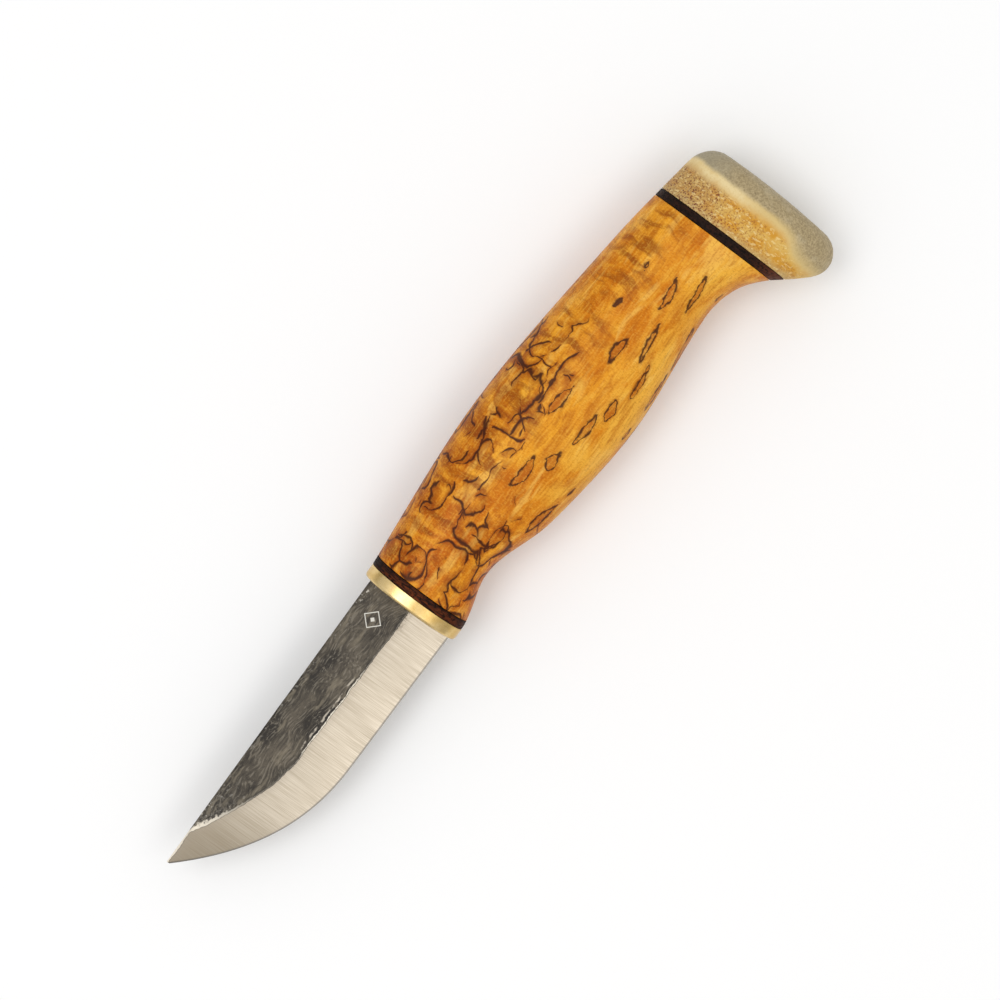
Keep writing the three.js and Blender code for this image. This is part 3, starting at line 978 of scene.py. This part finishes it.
# %% Press the forged surface
ground = []
from_edge = []
for vertex in blade.data.vertices:
    x, y, z = vertex.co
    line = float(grind_line(x)) + grind_wander(x)
    above = (line - y) / MM
    ground.append(above)
    from_edge.append((y - float(edge_line(x))) / MM)
    flat = min(max(-above / 0.6, 0), 1)
    side = 1 if z > middle_z else -1
    on_side = min(abs(z - middle_z) / (0.6 * float(half_line(x)) + 1e-9), 1)
    place = Vector((x / MM, y / MM, side * 40))
    dent = 0.6 + noise.noise(place * 0.33) + 0.5 * noise.noise(place * 1.1)
    pit = max(noise.noise(place * 1.7) - 0.35, 0) * 1.5
    vertex.co.z -= side * on_side * flat * MM * (0.025 * max(dent, 0) + 0.1 * pit)
store(blade, "ground", ground)
store(blade, "from_edge", from_edge)

# %% [markdown]
# Behind the shoulder the steel narrows to the tang. It is drawn out of a cube: the corners are
# moved so that it tapers to the far end, and the edges are bevelled. The blade keeps a short root
# of it, and the rest is a piece of its own, so that the finishes of blade and grip get the finest
# baking.

# %% Draw the tang
tang_half_width = 5.5 * MM
tang_end_half = float(tang_tip[:, 1].max() - tang_tip[:, 1].min()) / 2
tang_half_thick = float(tang_tip[:, 2].max() - tang_tip[:, 2].min()) / 2
tang_end = blade_high.x
tang_split = bolster_front + 15.8 * MM


def tang_half(x):
    return tang_half_width + (tang_end_half - tang_half_width) * (
        (x - bolster_front) / (tang_end - bolster_front))


def draw_tang(name, start, end):
    bpy.ops.object.select_all(action="DESELECT")
    bpy.ops.mesh.primitive_cube_add(size=1)
    bar = newly_added(name)
    for vertex in bar.data.vertices:
        x = end if vertex.co.x > 0 else start
        vertex.co = (x, tang_y + math.copysign(tang_half(x), vertex.co.y),
                     middle_z + math.copysign(tang_half_thick, vertex.co.z))
    bpy.ops.object.mode_set(mode="EDIT")
    bpy.ops.mesh.select_all(action="SELECT")
    bpy.ops.mesh.bevel(offset=0.25 * MM, segments=2, affect="EDGES")
    face_outwards()
    return bar


root_overlap = 0.05 * MM
root = draw_tang("tang_root", shoulder - root_overlap, tang_split - 0.02 * MM)
tang = draw_tang("hidden_tang", tang_split, tang_end)
for bar in (root, tang):
    count = len(bar.data.vertices)
    store(bar, "ground", [-5.0] * count)  # well up on the flat, so the tang is all scale
    store(bar, "from_edge", [9.0] * count)
bpy.ops.object.select_all(action="DESELECT")
root.select_set(True)
blade.select_set(True)
bpy.context.view_layer.objects.active = blade
bpy.ops.object.join()
bpy.ops.object.shade_smooth_by_angle(angle=math.radians(25))
print("blade faces:", len(blade.data.polygons))

# %% [markdown]
# One finish covers the whole blade. The flats keep dark forge scale, mottled and rubbed bright in
# spots. The bevel has fine lines across it from the stone. A small diamond is etched near the
# shoulder, as a plain decoration.

# %% Finish the steel
diamond_x = bolster_front - 7 * MM
diamond_y = float(grind_line(diamond_x) + back_line(diamond_x)) / 2


def steel_finish():
    f = Finish("forged_and_ground_steel")
    x, y, z = f.axes()
    tip = blade_point / MM
    above = f.plus(f.measured("ground"), f.uneven(0.9, 3, 0.6))
    bevel = f.rise(above, -0.06, 0.06)
    near_tip = f.rise(x, tip + 26, tip + 9)
    near_shoulder = f.rise(x, bolster_front / MM - 9, bolster_front / MM - 1)
    middle_run = f.times(f.rise(x, tip + 34, tip + 42), f.rise(x, tip + 64, tip + 56))

    # Forge scale
    cloud = f.noise(f.moved(f.warped(f.place, 9, 5), scale=(0.5, 1, 1)), 5.5, detail=4)
    fine = f.noise(f.place, 0.6, detail=5, roughness=0.7)
    drag = f.noise(f.moved(f.warped(f.place, 4, 2), scale=(0.2, 1, 1), turn=(0, 0, 14)), 1.3, detail=4)
    scale = f.mix(tone(42, 37, 31), tone(91, 83, 71), f.rise(cloud, 0.36, 0.66))
    scale = f.over(scale, tone(122, 114, 100), fine, 0.52, 0.68, 0.35)
    scale = f.over(scale, tone(30, 27, 23), fine, 0.47, 0.34, 0.45)
    rub = f.noise(f.moved(f.warped(f.place, 14, 9), scale=(0.09, 1, 1), turn=(0, 0, -24)), 0.35)
    scale = f.over(scale, tone(134, 126, 112), rub, 0.52, 0.66, 0.5)
    scale = f.over(scale, tone(32, 28, 24), rub, 0.47, 0.34, 0.45)
    scale = f.over(scale, tone(130, 120, 102), drag, 0.54, 0.7, 0.55)
    scale = f.mix(scale, tone(132, 126, 116), near_tip, f.rise(fine, 0.42, 0.6), 0.5)
    fleck_noise = f.noise(f.moved(f.place, shift=(3, 8, 1)), 0.8, detail=3)
    by_back = f.rise(f.minus(y, tang_y / MM), 8.5, 11)
    bright_zone = f.most(f.times(near_tip, 0.9), f.times(f.most(near_shoulder, 0.25), by_back))
    scale = f.mix(scale, tone(214, 208, 196), f.rise(fleck_noise, 0.6, 0.68), bright_zone)

    # Ground steel
    stone = f.noise(f.moved(f.place, scale=(6, 0.07, 0.07)), 1.0, detail=3, roughness=0.65)
    broad = f.noise(f.moved(f.place, scale=(0.3, 0.08, 0.08)), 4, detail=2)
    steel = f.mix(tone(206, 195, 178), tone(176, 164, 145), f.rise(stone, 0.32, 0.68))
    steel = f.over(steel, tone(168, 157, 140), broad, 0.4, 0.7, 0.18)
    steel = f.mix(steel, tone(128, 116, 97), near_tip, 0.6)
    steel = f.over(steel, tone(160, 149, 135), above, 2.2, 0.0, 0.3)

    # Where bevel and scale meet: a bright lip, and in the middle a dark broken gap behind it
    breaks = f.rise(f.noise(f.place, 1.6, detail=2), 0.42, 0.56)
    lip_share = f.plus(0.15, f.most(f.times(near_tip, 0.85), f.times(middle_run, 0.85)))
    lip_width = f.rise(x, tip + 26, tip + 10, 0.2, 1.5)
    lip_width = f.times(lip_width, f.rise(fleck_noise, 0.35, 0.65, 0.45, 1.35))
    lip = f.rise(f.absolute(f.plus(above, 0.14)), lip_width, f.times(lip_width, 0.3))
    gap = f.times(f.rise(f.absolute(f.plus(above, 0.52)), 0.34, 0.1), middle_run, breaks)
    ridge = f.times(f.rise(f.absolute(f.plus(above, 1.02)), 0.3, 0.08), middle_run, breaks)
    step = f.times(f.rise(above, -0.9, -0.1), 0.5)
    burr = f.times(near_shoulder, f.rise(above, 1.5, 0.1), f.rise(fine, 0.42, 0.58), 0.7)
    honed = f.rise(f.measured("from_edge"), 0.42, 0.3)

    # Etched diamond with a dot, half-way up the flat, on the upper side only
    upper = f.rise(z, middle_z / MM + 0.8, middle_z / MM + 1.1)
    from_x = f.absolute(f.minus(x, diamond_x / MM))
    from_y = f.absolute(f.minus(y, diamond_y / MM))
    reach = f.plus(from_x, from_y)
    ring = f.rise(f.absolute(f.minus(reach, 2.2)), 0.22, 0.12)
    dot = f.rise(reach, 0.7, 0.55)
    etched = f.times(f.most(ring, dot), upper)

    scale = f.mix(scale, tone(48, 44, 39), step)
    scale = f.mix(scale, tone(20, 18, 15), gap, 0.85)
    scale = f.mix(scale, tone(200, 190, 174), ridge, 0.75)
    scale = f.mix(scale, tone(226, 217, 200), lip, lip_share)
    scale = f.mix(scale, tone(222, 219, 210), etched, 0.85)
    steel = f.mix(steel, tone(86, 76, 62), burr)
    colour = f.mix(scale, steel, bevel)
    colour = f.mix(colour, tone(124, 122, 118), honed, 0.75)

    metal = f.rise(bevel, 0, 1, 0.45, 1.0)
    roughness = f.mix(f.rise(fine, 0.3, 0.7, 0.42, 0.62), f.rise(stone, 0.3, 0.7, 0.28, 0.4), bevel)
    unground = f.minus(1.0, bevel)
    beaten = f.relief(f.times(cloud, unground), 0.25)
    beaten = f.relief(f.times(fine, unground), 0.1, beaten)
    lined = f.relief(f.times(stone, bevel), 0.008, beaten)
    return f.wear(Base_Color=colour, Metallic=metal, Roughness=roughness,
                  Normal=f.relief(etched, -0.05, lined))


steel = steel_finish()
settle(blade, "blade", steel)
settle(tang, "blade", steel)

# %% [markdown]
# The glue round the tang keeps its CAD shape, because it can't be seen. It still gets a finish:
# cured amber epoxy, a little cloudy.

# %% Finish the glue
def epoxy_finish():
    f = Finish("amber_epoxy")
    cloud = f.noise(f.place, 2.5, detail=4)
    colour = f.mix(tone(214, 186, 120), tone(188, 152, 84), f.rise(cloud, 0.35, 0.65))
    return f.wear(Base_Color=colour, Roughness=f.rise(cloud, 0.3, 0.7, 0.2, 0.4),
                  Normal=f.relief(f.noise(f.place, 0.6), 0.03))


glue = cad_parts["epoxy_bed"]
glue.data.materials.clear()
glue.data.materials.append(epoxy_finish())

# %% [markdown]
# Last, the scene is brought up to date.

# %% Update the scene
bpy.context.view_layer.update()
